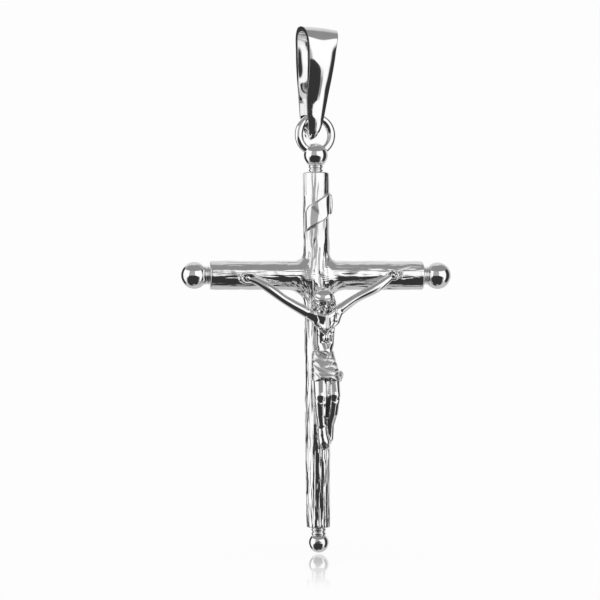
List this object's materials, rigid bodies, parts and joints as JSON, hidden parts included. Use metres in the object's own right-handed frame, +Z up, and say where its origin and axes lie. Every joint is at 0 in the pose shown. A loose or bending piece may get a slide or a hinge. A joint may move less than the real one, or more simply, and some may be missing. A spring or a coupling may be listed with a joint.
{
  "type": "crucifix pendant",
  "caption": "Cross with a raised figure, bark-grained round beams and ball ends, hung by a jump ring from a folded bail for a chain.",
  "frame": {"origin": "the chain seat, the middle of the inner crest of the bail, where the pendant hangs", "axes": "+Z up along the post, the figure faces -Y, +X to its viewer's right"},
  "size_m": [0.0273, 0.0066, 0.0526],
  "materials": {
    "bail": "polished silver",
    "cross": "polished silver with cast bark grain",
    "figure": "polished cast silver",
    "nails": "polished silver"
  },
  "bodies": {
    "bail": {"bail": "bail"},
    "pendant": {"cross": "cross", "figure": "figure", "nail_left_hand": "nails", "nail_right_hand": "nails", "nail_feet": "nails"}
  },
  "joints": [
    {"name": "pendant_swing", "type": "hinge", "parent": "bail", "child": "pendant", "pos_m": [-0.00052, 0, -0.00854], "axis": [0.9781, 0.2079, 0], "range_deg": [-70, 70]}
  ]
}
